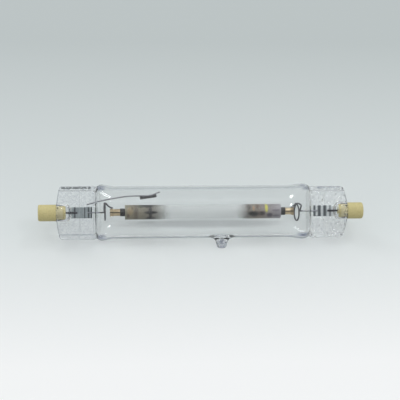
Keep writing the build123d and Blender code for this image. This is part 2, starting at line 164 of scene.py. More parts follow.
# Floor and light
FLOOR_REACH = 3.0
FLOOR_GLOW = 0.35  # the share of the floor's paleness that its material gives by itself
FLOOR_SHADES = [
    (0.0, (0.50, 0.54, 0.54)),
    (0.5, (0.69, 0.73, 0.73)),
    (0.78, (0.90, 0.905, 0.905)),
    (1.0, (0.93, 0.93, 0.93)),
]
LIGHT_BOUNCES = 24
TRANSMISSION_BOUNCES = 20

# The camera: its distance in picture points, and where the lamp's middle falls in the 400 x 400 picture
PICTURE = 400
CAMERA_DISTANCE = 1120
POINT = 0.634
LAMP_IN_PICTURE = (202.0, 211.7)
SENSOR_WIDTH = 36
CAMERA_YAW = radians(4.8)
CAMERA_ROLL = radians(0.49)


@dataclass
class End:
    """One end of the lamp. Distances run outward from mid-length.

    Each of the ripples that the press leaves has its waves per millimetre along and across, and its height.
    """

    name: str
    side: int
    tube_end: float
    pinch_line: float
    corner: float
    blade_end: float
    upper: float
    lower: float
    foil_outer: float
    socket_bottom: float
    spigot_end: float
    spoke_foot: float
    spoke_lean: float
    loop_plane: float
    loop_shift: float
    loop_start: float
    loop_way: int
    loop_turns: float
    loop_pitch: float
    loop_tilt: float
    niobium_end: float
    tube: float
    web_step: float
    ripples: tuple
    edge_ripple: float


LEFT = End(
    name="left", side=-1, tube_end=54.6, pinch_line=67.1,
    corner=89.4, blade_end=91.8, upper=16.8, lower=17.0,
    foil_outer=82.4, socket_bottom=83.2, spigot_end=85.7, spoke_foot=61.0,
    spoke_lean=0.0, loop_plane=60.9, loop_shift=0.6, loop_start=162.0,
    loop_way=-1, loop_turns=1.2, loop_pitch=0.5, loop_tilt=0.0,
    niobium_end=57.9, tube=-ARC_TUBE_LEFT, web_step=0.2, ripples=((0.8, 0.8, 0.14), (1.7, 1.7, 0.10)),
    edge_ripple=0.1,
)
RIGHT = End(
    name="right", side=1, tube_end=52.3, pinch_line=68.9,
    corner=89.8, blade_end=93.1, upper=15.8, lower=17.1,
    foil_outer=84.5, socket_bottom=85.3, spigot_end=86.8, spoke_foot=62.2,
    spoke_lean=0.9, loop_plane=60.9, loop_shift=-0.6, loop_start=90.0,
    loop_way=1, loop_turns=1.0, loop_pitch=1.2, loop_tilt=0.16,
    niobium_end=58.6, tube=ARC_TUBE_RIGHT, web_step=2.6, ripples=((1.1, 0.3, 0.5), (2.0, 0.6, 0.32)),
    edge_ripple=0.45,
)

# The lean that puts both the bulb and the rim of the exhaust tip on the table
tip_rim_reach = TIP_REACH - TIP_CORNER_RADIUS
rim_angle = atan2(TIP_FLAT_RADIUS, tip_rim_reach)
lean = rim_angle + acos((BULB_RADIUS - TIP_CORNER_RADIUS) / hypot(tip_rim_reach, TIP_FLAT_RADIUS))
tip_front = tip_rim_reach * sin(lean) + TIP_FLAT_RADIUS * cos(lean) + TIP_CORNER_RADIUS
axis_y = (tip_front - BULB_RADIUS) / 2
LAMP = Matrix(
    (
        (1, 0, 0, 0),
        (0, sin(lean), -cos(lean), axis_y * MM),
        (0, cos(lean), sin(lean), BULB_RADIUS * MM),
        (0, 0, 0, 1),
    )
)


# Materials

materials = {}
WHITE = (1, 1, 1)
BLACK = (0, 0, 0)


def put(value, socket):
    """Gives a node's input its value: the output of another node, a colour, or numbers as they are."""
    if isinstance(value, bpy.types.NodeSocket):
        socket.id_data.links.new(value, socket)
    elif isinstance(value, tuple):
        socket.default_value = (*value, 1)
    else:
        socket.default_value = value


def add_node(tree, kind, inputs=None, **settings):
    """A new node with these settings, and these values in its inputs."""
    node = tree.nodes.new("ShaderNode" + kind)
    for name, value in settings.items():
        setattr(node, name, value)
    for name, value in (inputs or {}).items():
        put(value, node.inputs[name])
    return node


def new_material(name):
    """A material with one Principled shader, kept under the name of its slot."""
    material = bpy.data.materials.new(name)
    material.use_nodes = True
    tree = material.node_tree
    tree.nodes.clear()
    shader = add_node(tree, "BsdfPrincipled")
    add_node(tree, "OutputMaterial", {"Surface": shader.outputs[0]})
    materials[name] = material
    return tree, shader


def surface(shader, colour, roughness, metallic=0.0):
    """Sets the main inputs of a shader."""
    for name, value in (("Base Color", colour), ("Roughness", roughness), ("Metallic", metallic)):
        put(value, shader.inputs[name])


def ramp(source, stops):
    """Colour ramp over a value from 0 to 1."""
    node = add_node(source.id_data, "ValToRGB", {"Fac": source})
    elements = node.color_ramp.elements
    while len(elements) < len(stops):
        elements.new(0.5)
    for element, (position, colour) in zip(elements, stops):
        element.position = position
        element.color = (*colour, 1)
    return node.outputs[0]


def noise_value(tree, scale, stretch=(1, 1, 1), detail=4.0):
    """Noise in lamp coordinates; scale is in features per millimetre."""
    where = add_node(tree, "TexCoord").outputs["Object"]
    stretched = add_node(tree, "Mapping", {"Vector": where, "Scale": [scale * part / MM for part in stretch]})
    pattern = add_node(tree, "TexNoise", {"Vector": stretched.outputs[0], "Scale": 1.0, "Detail": detail})
    return pattern.outputs["Fac"]


def coordinates(tree, kind="Object"):
    """Sockets with the x and y of a point, as a rule in lamp coordinates, in metres."""
    split = add_node(tree, "SeparateXYZ", {"Vector": add_node(tree, "TexCoord").outputs[kind]})
    return split.outputs["X"], split.outputs["Y"]


def map_range(source, start, stop, low=0.0, high=1.0, kind="LINEAR"):
    """A value between start and stop brought between low and high."""
    inputs = {"Value": source, "From Min": start, "From Max": stop, "To Min": low, "To Max": high}
    return add_node(source.id_data, "MapRange", inputs, interpolation_type=kind).outputs[0]


def between(pattern, low, high):
    """Noise, which stays mostly between 0.3 and 0.7, brought between two other values."""
    return map_range(pattern, 0.3, 0.7, low, high)


def share_step(source, low, high):
    """0 below low, 1 above high, and a smooth step between, for a plain share."""
    return map_range(source, low, high, kind="SMOOTHSTEP")


def step_up(source, low, high):
    """0 below low, 1 above high, and a smooth step between, for a length in millimetres."""
    return share_step(source, low * MM, high * MM)


def arithmetic(kind, first, second=0.0):
    """Result of a Math node over a socket, and a socket or number."""
    return add_node(first.id_data, "Math", {0: first, 1: second}, operation=kind).outputs[0]


def absolute(value):
    """A value without its sign."""
    return arithmetic("ABSOLUTE", value)


def product(first, *others):
    """Values multiplied one after the other."""
    for other in others:
        first = arithmetic("MULTIPLY", first, other)
    return first


def within(source, low, high, soft):
    """1 between two lengths in millimetres, 0 outside, with a soft step at both."""
    from_low = step_up(source, low - soft, low + soft)
    return product(from_low, step_up(source, high + soft, high - soft))


def blot(where, centre, half_size, depth=1.0):
    """Soft oval spot in lamp coordinates: depth in its middle, 0 outside."""
    squares = []
    for socket, middle, half in zip(where, centre, half_size):
        off = arithmetic("SUBTRACT", socket, middle * MM)
        share = product(off, 1 / (half * MM))
        squares.append(product(share, share))
    far = arithmetic("ADD", *squares)
    return map_range(far, 1.0, 0.05, 0.0, depth, "SMOOTHSTEP")


def painted(under, over, share, blend="MIX"):
    """A colour laid over another by a share from 0 to 1."""
    inputs = {"Factor": share, "A": under, "B": over}
    return add_node(under.id_data, "Mix", inputs, data_type="RGBA", blend_type=blend).outputs["Result"]


def multiplied(first, second, share=1.0):
    """Two colours multiplied, as far as the share goes."""
    return painted(first, second, share, "MULTIPLY")


def mottled(name, dark, light, scale, roughness, metallic=0.0, bump=0.0):
    """A surface whose colour and roughness vary with noise."""
    tree, shader = new_material(name)
    pattern = noise_value(tree, scale)
    colour = ramp(pattern, [(0.32, dark), (0.68, light)])
    surface(shader, colour, between(pattern, *roughness), metallic)
    if bump:
        inputs = {"Strength": bump, "Distance": 0.1 * MM, "Height": noise_value(tree, scale * 2)}
        put(add_node(tree, "Bump", inputs).outputs[0], shader.inputs["Normal"])


# Quartz

# Tint of the quartz by how squarely it faces the view: the darker tint at grazing angles is painted shade
# along the glass's edges
QUARTZ_TINT_AND_EDGE_SHADE = [(0.0, (0.932, 0.939, 0.940)), (0.6, (0.915, 0.922, 0.926)), (1.0, (0.74, 0.76, 0.80))]
WRINKLE = (0.66, 0.68, 0.73)
WRINKLES = [(0.455, WHITE), (0.475, WRINKLE), (0.49, WHITE), (0.54, WRINKLE), (0.555, WHITE)]
STREAK_GREY = (0.48, 0.50, 0.56)
STREAKS = [
    (0.42, WHITE), (0.44, STREAK_GREY), (0.46, WHITE),
    (0.525, WHITE), (0.55, STREAK_GREY), (0.575, WHITE),
]
SMUDGES = [
    (0.40, WHITE),
    (0.47, (0.30, 0.32, 0.42)),
    (0.52, WHITE),
    (0.58, (0.40, 0.42, 0.52)),
    (0.63, WHITE),
]

# Middle and half size of each smudge and each stroke of painted shade, in lamp millimetres
SMUDGE_SPOTS = [
    ((-64.5, 15.4), (5.0, 2.2)),
    ((-64.5, -15.6), (5.0, 2.0)),
    ((66.0, -15.4), (5.0, 2.2)),
    ((67.0, 14.8), (4.0, 1.8)),
    ((TIP_X, -20.5), (6.5, 5.2)),
]
# Dark strokes along the shoulders are painted shade, where the glass turns away at the shoulders' edges
SHOULDER_SHADE_COLOUR = (0.28, 0.30, 0.40)
SHOULDER_SHADE_STROKES = [
    ((-63.9, 16.2), (4.6, 0.7)),
    ((-63.9, -16.1), (4.6, 0.7)),
    ((63.8, 16.4), (3.2, 0.6)),
    ((63.8, -15.5), (4.0, 0.7)),
]

# Painted shade in bands along the rails' edges: from and to across the lamp, from and to along it, and colour
RAIL_SHADE_BANDS = [
    (14.9, 16.3, -88.5, -70.0, (0.18, 0.19, 0.20)),
    (14.4, 15.6, 73.0, 88.0, (0.42, 0.44, 0.50)),
    (-14.5, -13.5, -89.0, -69.0, (0.55, 0.57, 0.62)),
    (-17.2, -16.6, -90.0, -67.0, (0.45, 0.47, 0.52)),
    (-17.3, -16.7, 70.0, 90.0, (0.45, 0.47, 0.52)),
]


def pressed_ends(x, y):
    """Shares that pick out the left and the right pressed end, without the smooth glass round the sockets."""
    left = step_up(x, -(LEFT.pinch_line + 0.5), -(LEFT.pinch_line + 1.5))
    right = step_up(x, RIGHT.pinch_line + 0.5, RIGHT.pinch_line + 1.5)
    along = step_up(absolute(x), 84.0, 85.5)
    smooth = product(along, step_up(absolute(y), 6.2, 5.2))
    rough = map_range(smooth, 0.0, 1.0, 1.0, 0.0)
    return product(left, rough), product(right, rough)


def pressed_marks(tree, colour, left, right):
    """Wrinkles on the left pressed end, and upright streaks on the right one."""
    colour = painted(colour, (0.955, 0.96, 0.965), left)
    colour = painted(colour, WHITE, right)
    fine = noise_value(tree, 0.5, (1.0, 1.2, 1.0), 6.0)
    colour = multiplied(colour, ramp(fine, WRINKLES), left)
    coarse = noise_value(tree, 0.6, (1.0, 0.3, 1.0), 6.0)
    return multiplied(colour, ramp(coarse, STREAKS), right)


def long_side_shade(colour, facing, x, y):
    """Painted shade: a dark lower edge and a grey upper edge where the glass turns away, and between them a
    faint painted shadow of the arc tube.
    """
    lower = product(step_up(y, -15.2, -15.6), share_step(facing, 0.38, 0.46))
    colour = painted(colour, (0.20, 0.23, 0.28), lower)
    painted_arc_tube_shadow = ramp(blot((x, y), (0.0, -7.6), (62.0, 3.4)), [(0.0, WHITE), (1.0, (0.86, 0.86, 0.865))])
    colour = multiplied(colour, painted_arc_tube_shadow)
    upper = product(within(y, 14.4, 15.6, 0.3), share_step(facing, 0.28, 0.36))
    return painted(colour, (0.74, 0.76, 0.79), upper)


def smudged_and_shaded(tree, colour, where):
    """Smudges at the shoulders and on the exhaust tip, and dark strokes of painted shade along the shoulders.
    """
    smudges = ramp(noise_value(tree, 0.55), SMUDGES)
    for centre, half_size in SMUDGE_SPOTS:
        colour = multiplied(colour, smudges, blot(where, centre, half_size))
    for centre, half_size in SHOULDER_SHADE_STROKES:
        colour = painted(colour, SHOULDER_SHADE_COLOUR, blot(where, centre, half_size))
    return colour


def rail_shade_bands(tree, colour, x, y):
    """Broken dark bands of painted shade along the rails' edges."""
    patchy = map_range(noise_value(tree, 0.8, (1.0, 0.4, 1.0), 5.0), 0.36, 0.46)
    for low, high, first, last, shade in RAIL_SHADE_BANDS:
        band = product(within(y, low, high, 0.15), within(x, first, last, 0.5), patchy)
        colour = painted(colour, shade, band)
    return colour


def shaded_outer_rims(colour, x, y, left, right):
    """Painted shade: a grey rim along the bowed outer edge of both pressed ends, where their rounded edge
    turns away.
    """
    bow = product(y, y, (LEFT.blade_end - LEFT.corner) / LEFT.upper**2 / MM)
    reach = arithmetic("ADD", absolute(x), bow)
    for end, share in ((LEFT, left), (RIGHT, right)):
        rim = product(step_up(reach, end.blade_end - 0.9, end.blade_end - 0.4), share)
        colour = painted(colour, (0.50, 0.52, 0.58), rim)
    return colour


def glints_and_bright_marks(tree, where, left, right):
    """Share of white: painted glints along ridges on the right end, specks on the left one, and the seam at
    its shoulder.
    """
    ridges = noise_value(tree, 0.75, (1.0, 0.28, 1.0), 5.0)
    painted_glints = product(ramp(ridges, [(0.60, BLACK), (0.65, WHITE)]), right)
    grains = noise_value(tree, 0.9, (1.0, 0.8, 1.0), 5.0)
    specks = product(ramp(grains, [(0.60, BLACK), (0.66, (0.8, 0.8, 0.8))]), left)
    seam = blot(where, (-65.0, 0.0), (1.4, 20.0), 0.30)
    return arithmetic("ADD", arithmetic("ADD", painted_glints, specks), seam)


def open_to_lamps(shader, tint):
    """Puts a Transparent shader in for the rays that come from lamps."""
    tree = shader.id_data
    lamp_ray = add_node(tree, "LightPath").outputs["Is Shadow Ray"]
    clear = add_node(tree, "BsdfTransparent", {"Color": tint}).outputs[0]
    mix = add_node(tree, "MixShader", {0: lamp_ray, 1: shader.outputs[0], 2: clear})
    put(mix.outputs[0], tree.nodes["Material Output"].inputs[0])


def quartz():
    """Clear fused quartz, with the marks that the press leaves at both flat ends, and painted shade and
    glints.
    """
    tree, shader = new_material("quartz")
    facing = add_node(tree, "LayerWeight", {"Blend": 0.3}).outputs["Facing"]
    x, y = coordinates(tree)
    left, right = pressed_ends(x, y)
    colour = ramp(facing, QUARTZ_TINT_AND_EDGE_SHADE)
    colour = pressed_marks(tree, colour, left, right)
    colour = long_side_shade(colour, facing, x, y)
    colour = smudged_and_shaded(tree, colour, (x, y))
    colour = rail_shade_bands(tree, colour, x, y)
    colour = shaded_outer_rims(colour, x, y, left, right)
    # White over the glass: painted glints on the right end, and whitish specks and seam on the left end
    colour = painted(colour, WHITE, glints_and_bright_marks(tree, (x, y), left, right))
    surface(shader, colour, between(noise_value(tree, 0.6), 0.0, 0.02))
    shader.inputs["Transmission Weight"].default_value = 1.0
    shader.inputs["IOR"].default_value = 1.458
    open_to_lamps(shader, (0.988, 0.99, 0.99))


# Arc tube, foils and wires

# Colour and cover along the arc tube, from its left end at 0 to its right end at 1
CLEAN_ALUMINA = (0.57, 0.595, 0.59)
ARC_TUBE_SHADES = [
    (0.00, (0.24, 0.23, 0.16)),
    (0.05, (0.22, 0.19, 0.13)),
    (0.07, (0.12, 0.10, 0.07)),
    (0.09, (0.24, 0.22, 0.16)),
    (0.16, (0.17, 0.16, 0.13)),
    (0.20, (0.28, 0.28, 0.25)),
    (0.23, (0.45, 0.46, 0.43)),
    (0.27, CLEAN_ALUMINA),
    (0.70, CLEAN_ALUMINA),
    (0.745, (0.55, 0.56, 0.55)),
    (0.78, (0.25, 0.24, 0.22)),
    (0.82, (0.19, 0.17, 0.13)),
    (0.86, (0.22, 0.18, 0.15)),
    (0.93, (0.27, 0.25, 0.25)),
    (1.00, (0.31, 0.30, 0.32)),
]
ARC_TUBE_COVER = [
    (0.00, 0.95), (0.17, 0.90), (0.22, 0.55), (0.29, 0.20),
    (0.72, 0.20), (0.78, 0.55), (0.82, 0.90), (1.00, 0.95),
]

# Stains on the arc tube: middle, half size, depth and colour. The near-black ones at the electrodes are
# partly the tube's blackening and partly painted shade of the electrodes seen through its wall.
ARC_TUBE_STAINS_AND_SHADE = [
    ((-45.6, 0.5), (2.6, 3.4), 0.6, (0.34, 0.26, 0.13)),
    ((-46.8, -2.2), (1.2, 1.6), 0.7, (0.10, 0.07, 0.04)),
    ((-44.2, 2.6), (1.0, 1.4), 0.7, (0.09, 0.07, 0.03)),
    ((-39.0, 3.6), (2.2, 1.6), 0.9, (0.05, 0.06, 0.03)),
    ((-34.5, 4.2), (5.6, 1.9), 0.97, (0.02, 0.02, 0.02)),
    ((-32.6, -4.2), (4.2, 1.9), 0.97, (0.02, 0.02, 0.02)),
    ((-32.9, 0.0), (1.5, 5.8), 0.9, (0.01, 0.01, 0.01)),
    ((-32.6, -0.2), (5.4, 1.4), 0.98, (0.01, 0.01, 0.01)),
    ((32.4, -1.6), (4.6, 2.2), 0.98, (0.01, 0.01, 0.01)),
    ((29.4, 3.0), (1.8, 2.6), 0.85, (0.06, 0.04, 0.03)),
    ((34.8, 3.4), (1.2, 2.4), 0.8, (0.10, 0.06, 0.03)),
    ((32.4, 1.8), (1.0, 2.2), 0.8, (0.42, 0.27, 0.16)),
    ((37.6, -1.4), (2.6, 1.8), 0.9, (0.04, 0.03, 0.03)),
    ((40.6, 2.0), (1.3, 3.4), 0.95, (0.62, 0.60, 0.06)),
    ((42.6, -2.4), (2.4, 1.8), 0.85, (0.05, 0.04, 0.06)),
    ((46.6, 0.6), (3.6, 1.0), 0.7, (0.10, 0.08, 0.11)),
    ((46.8, -2.8), (3.4, 0.9), 0.6, (0.12, 0.10, 0.14)),
]

# Darker and paler bands across the foils, painted reflection and shade of the rippled foil: middle, half
# length and colour
FOIL_REFLECTION_BANDS = [
    (-80.2, 0.7, (0.08, 0.09, 0.10)),
    (-74.0, 0.5, (0.10, 0.11, 0.12)),
    (-71.6, 0.6, (0.05, 0.06, 0.06)),
    (-69.7, 0.5, (0.03, 0.04, 0.04)),
    (-76.4, 0.35, (0.30, 0.34, 0.35)),
    (-70.7, 0.35, (0.36, 0.40, 0.41)),
    (72.0, 0.8, (0.07, 0.08, 0.09)),
    (73.5, 0.75, (0.80, 0.83, 0.84)),
    (75.2, 1.1, (0.07, 0.08, 0.09)),
    (77.0, 0.8, (0.78, 0.81, 0.82)),
    (78.9, 1.1, (0.06, 0.07, 0.08)),
    (80.9, 0.9, (0.80, 0.83, 0.84)),
    (82.2, 0.4, (0.16, 0.18, 0.19)),
    (83.6, 1.0, (0.82, 0.85, 0.86)),
]


def alumina():
    """Translucent alumina, clean in the middle and stained at both ends, where painted shade of the
    electrodes darkens the stains.
    """
    tree, shader = new_material("arc_alumina")
    where = coordinates(tree)
    along = map_range(where[0], ARC_TUBE_LEFT * MM, ARC_TUBE_RIGHT * MM)
    colour = ramp(along, ARC_TUBE_SHADES)
    for centre, half_size, depth, stain_and_shade in ARC_TUBE_STAINS_AND_SHADE:
        colour = painted(colour, stain_and_shade, blot(where, centre, half_size, depth))
    lines = noise_value(tree, 0.9, (0.12, 1.6, 1.6))
    grain = ramp(lines, [(0.3, (0.88, 0.88, 0.88)), (0.7, WHITE)])
    surface(shader, multiplied(colour, grain), between(lines, 0.35, 0.5))
    cover = ramp(along, [(position, (value,) * 3) for position, value in ARC_TUBE_COVER])
    put(cover, shader.inputs["Alpha"])


def niobium():
    """Metal end tube: gold brown, with painted reflections: a dark line along its middle and a darker line
    above it.
    """
    tree, shader = new_material("niobium")
    where = coordinates(tree)
    grain = noise_value(tree, 0.7, (0.3, 1.5, 1.0))
    colour = ramp(grain, [(0.32, (0.42, 0.31, 0.17)), (0.68, (0.66, 0.55, 0.36))])
    # Painted reflection: dark lines along the round tube, where it mirrors dark surroundings
    for side in (-1, 1):
        for y, half, shade in ((-0.1, 0.55, (0.05, 0.04, 0.02)), (2.2, 0.45, (0.16, 0.12, 0.06))):
            line = blot(where, (side * 55.0, y), (12.0, half), 0.95)
            colour = painted(colour, shade, line)
    colour = painted(colour, (0.10, 0.08, 0.05), blot(where, (58.4, 0.0), (1.2, 3.0), 0.6))
    surface(shader, colour, between(grain, 0.3, 0.45), 0.6)


def foil_metal():
    """Molybdenum foil: grey, with darker and paler bands of painted reflection and shade across it."""
    tree, shader = new_material("foil_metal")
    where = coordinates(tree)
    grain = noise_value(tree, 1.2, (1.0, 0.25, 1.0))
    colour = ramp(grain, [(0.3, (0.30, 0.345, 0.355)), (0.7, (0.46, 0.515, 0.525))])
    for middle, half, shade in FOIL_REFLECTION_BANDS:
        colour = painted(colour, shade, blot(where, (middle, 0.0), (half, 20.0), 0.9))
    surface(shader, colour, between(grain, 0.35, 0.5), 0.6)


def loop_metal():
    """Dark drawn wire, which is brighter from the bulb's shoulder outward."""
    tree, shader = new_material("loop_metal")
    pattern = noise_value(tree, 2.0)
    colour = ramp(pattern, [(0.32, (0.05, 0.05, 0.055)), (0.68, (0.11, 0.11, 0.12))])
    bright = step_up(absolute(coordinates(tree)[0]), 62.5, 64.5)
    colour = painted(colour, (0.34, 0.35, 0.38), bright)
    surface(shader, colour, between(pattern, 0.35, 0.5), 1.0)


quartz()
alumina()
niobium()
foil_metal()
loop_metal()
mottled("cap_ceramic", (0.51, 0.445, 0.20), (0.62, 0.54, 0.265), 1.3, (0.5, 0.7), bump=0.25)
mottled("cement", (0.56, 0.50, 0.29), (0.68, 0.62, 0.40), 2.0, (0.8, 0.95), bump=0.8)
mottled("contact_metal", (0.50, 0.48, 0.45), (0.66, 0.65, 0.62), 1.5, (0.25, 0.4), 1.0, bump=0.2)
mottled("lead_metal", (0.05, 0.05, 0.055), (0.12, 0.12, 0.13), 3.0, (0.4, 0.55), 1.0, bump=0.2)
mottled("collar", (0.003, 0.003, 0.003), (0.015, 0.015, 0.015), 2.0, (0.6, 0.8))
mottled("plug_alumina", (0.40, 0.35, 0.27), (0.62, 0.56, 0.46), 1.2, (0.5, 0.7))
mottled("tungsten", (0.03, 0.03, 0.03), (0.08, 0.08, 0.08), 2.0, (0.4, 0.6), 1.0)
mottled("tungsten_coil", (0.01, 0.01, 0.01), (0.05, 0.05, 0.05), 2.0, (0.6, 0.8))
mottled("amalgam", (0.45, 0.45, 0.47), (0.62, 0.62, 0.64), 1.0, (0.1, 0.25), 1.0)
mottled("getter_metal", (0.16, 0.16, 0.18), (0.34, 0.34, 0.36), 1.5, (0.3, 0.45), 1.0)
mottled("boat_metal", (0.02, 0.02, 0.02), (0.15, 0.15, 0.15), 0.8, (0.35, 0.55), 1.0)
mottled("getter_fill", (0.015, 0.015, 0.015), (0.06, 0.06, 0.06), 3.0, (0.8, 0.95), bump=0.8)


# Drawing helpers


def in_scene(name, data):
    """A new object, linked into the scene."""
    shape = bpy.data.objects.new(name, data)
    bpy.context.scene.collection.objects.link(shape)
    return shape


def place(name, data, slot, node):
    """Puts a finished shape on the lamp: it rides on the body, and stands for this CAD node."""
    data.materials.append(materials[slot])
    shape = in_scene(name, data)
    shape.matrix_world = LAMP
    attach(shape, "root")
    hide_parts(node)
    return shape


def draw(name, vertices, faces, slot, node):
    """Smooth mesh from points in lamp millimetres."""
    mesh = bpy.data.meshes.new(name)
    mesh.from_pydata([tuple(point) for point in np.asarray(vertices, float) * MM], [], faces)
    mesh.polygons.foreach_set("use_smooth", [True] * len(mesh.polygons))
    mesh.update()
    return place(name, mesh, slot, node)


@contextmanager
def reworked(shape):
    """The shape's mesh to work on, written back at the end."""
    work = bmesh.new()
    work.from_mesh(shape.data)
    yield work
    work.to_mesh(shape.data)
    work.free()


def turn_outward(shape):
    """Faces of a closed shape point out of it."""
    with reworked(shape) as work:
        bmesh.ops.recalc_face_normals(work, faces=work.faces)


def oval(x, width, height, around):
    """Section round the lamp's axis, with half its width across and half its height square to that."""
    angles = [2 * pi * step / around for step in range(around)]
    return [(x, width * sin(angle), height * cos(angle)) for angle in angles]


def ring_faces(rings, around, closed=False):
    """Quads between rings of points, one after the other."""
    faces = []
    for ring in range(rings if closed else rings - 1):
        here = ring * around
        there = (ring + 1) % rings * around
        for step in range(around):
            after = (step + 1) % around
            faces.append((here + step, here + after, there + after, there + step))
    return faces


def close_ends(vertices, faces, rows, around, first_x, last_x):
    """Closes the first and the last ring of a grid with a fan of triangles to a point on the axis."""
    first_point = len(vertices)
    vertices += [(first_x, 0, 0), (last_x, 0, 0)]
    last_row = (rows - 1) * around
    for step in range(around):
        after = (step + 1) % around
        faces.append((after, step, first_point))
        faces.append((last_row + step, last_row + after, first_point + 1))


def rounded(points, radii, steps=5):
    """Closed or open outline with its corners rounded; one radius per point, 0 keeps it sharp."""
    outline = []
    count = len(points)
    for number, (point, radius) in enumerate(zip(points, radii)):
        corner = Vector(point)
        if not radius:
            outline.append(tuple(corner))
            continue
        before = (Vector(points[number - 1]) - corner).normalized()
        after = (Vector(points[(number + 1) % count]) - corner).normalized()
        half = before.angle(after) / 2
        reach = radius / tan(half)
        centre = corner + (before + after).normalized() * (radius / sin(half))
        start = corner + before * reach - centre
        finish = corner + after * reach - centre
        for step in range(steps + 1):
            outline.append(tuple(centre + start.slerp(finish, step / steps) * radius))
    return outline


def lathe(name, profile, slot, node, around=72, closed=False):
    """Shape turned about the lamp's axis from (x, radius) pairs; a radius of 0 closes it."""
    vertices = [point for x, radius in profile for point in oval(x, radius, radius, around)]
    shape = draw(name, vertices, ring_faces(len(profile), around, closed), slot, node)
    with reworked(shape) as work:
        bmesh.ops.remove_doubles(work, verts=work.verts, dist=WELD_DISTANCE)
        bmesh.ops.recalc_face_normals(work, faces=work.faces)


def lathe_at(end, piece, profile, slot, node, **how):
    """Turned piece of one end, from a profile that runs outward."""
    profile = [(end.side * x, radius) for x, radius in profile]
    lathe(f"{end.name}_{piece}", profile, slot, f"{end.name}_{node}", **how)


def ring_at(end, piece, points, radii, steps, slot, node):
    """Closed ring of one end, turned from an outline whose corners are rounded."""
    lathe_at(end, piece, rounded(points, radii, steps), slot, node, closed=True)


def wire(name, corners, radius, slot, node):
    """Bent wire: a smooth curve that follows the corners."""
    curve = bpy.data.curves.new(name, "CURVE")
    curve.dimensions = "3D"
    curve.bevel_depth = radius * MM
    curve.bevel_resolution = 4
    curve.resolution_u = 10
    curve.use_fill_caps = True
    spline = curve.splines.new("NURBS")
    spline.points.add(len(corners) - 1)
    for point, corner in zip(spline.points, corners):
        point.co = (corner[0] * MM, corner[1] * MM, corner[2] * MM, 1)
    spline.order_u = 3
    spline.use_endpoint_u = True
    place(name, curve, slot, node)


def smooth_through(places, values, place_now):
    """Smooth curve through a few stations, level at the first one."""
    slopes = [0.0]
    for number in range(1, len(places) - 1):
        slopes.append(
            (values[number + 1] - values[number - 1]) / (places[number + 1] - places[number - 1])
        )
    slopes.append((values[-1] - values[-2]) / (places[-1] - places[-2]) * SHOULDER_END_SLOPE)
    number = min(max(int(np.searchsorted(places, place_now)) - 1, 0), len(places) - 2)
    width = places[number + 1] - places[number]
    t = min(max((place_now - places[number]) / width, 0.0), 1.0)
    return (
        (2 * t**3 - 3 * t**2 + 1) * values[number]
        + (t**3 - 2 * t**2 + t) * width * slopes[number]
        + (3 * t**2 - 2 * t**3) * values[number + 1]
        + (t**3 - t**2) * width * slopes[number + 1]
    )


def ease(value, low, high):
    """0 below low, 1 above high, and a smooth step between."""
    t = min(max((value - low) / (high - low), 0.0), 1.0)
    return t * t * (3 - 2 * t)


# Outer bulb


def web_half_thickness(end, x, y):
    """Half the thickness of the pressed glass between the rails."""
    step_at = end.pinch_line + PRESS_LENGTH
    at_socket = ease(x, step_at - end.web_step, step_at + end.web_step)
    web = PRESS_HALF_THICKNESS + (SOCKET_WEB_HALF_THICKNESS - PRESS_HALF_THICKNESS) * at_socket
    dome_start = end.socket_bottom + BOSS_DOME_OFFSET
    along = min(max((dome_start - x) / BOSS_DOME_LENGTH, 0.0), 1.0)
    boss = sqrt(max(BOSS_RADIUS**2 * (1 - along**2) - y**2, 0.0))
    fillet = max(BOSS_FILLET - abs(boss - web), 0.0) ** 2 / (4 * BOSS_FILLET)
    return max(web, boss) + fillet


def round_inset(radius, from_end):
    """How far a rounded edge of this radius draws in, this far from the end."""
    return radius - sqrt(max(radius**2 - max(radius - from_end, 0.0) ** 2, 0.0))


def blade_point(end, x, part, width, from_end):
    """Point on a quarter of the blade's section: part 0 is at the middle, 1 at the edge."""
    inset_face = round_inset(BLADE_EDGE_RADIUS, from_end)
    outer = width - round_inset(BLADE_CORNER_RADIUS, from_end)
    top = RAIL_HALF_THICKNESS - inset_face
    web_edge = width - RAIL_WIDTH
    if part < WEB_PART:
        y = part / WEB_PART * web_edge
        return y, web_half_thickness(end, x, y) - inset_face
    rail = web_edge + RAIL_STEP
    if part < STEP_PART:
        foot = web_half_thickness(end, x, web_edge) - inset_face
        t = (part - WEB_PART) / (STEP_PART - WEB_PART)
        return web_edge + RAIL_STEP * t, foot + (top - foot) * ease(t, 0.0, 1.0)
    corner = min(RAIL_EDGE_RADIUS, outer - web_edge - RAIL_LEAST_TOP)
    if part < TOP_PART:
        t = (part - STEP_PART) / (TOP_PART - STEP_PART)
        return rail + (outer - corner - rail) * t, top
    if part < CORNER_PART:
        angle = (part - TOP_PART) / (CORNER_PART - TOP_PART) * pi / 2
        return outer - corner + corner * sin(angle), top - corner + corner * cos(angle)
    return outer, (top - corner) * (1 - part) / (1 - CORNER_PART)


def pressed_share(end, x):
    """How far the shoulder has gone over into the flat blade: 0 to 1."""
    return ease(x, end.pinch_line - PRESS_BLEND, end.pinch_line + PRESS_BLEND)


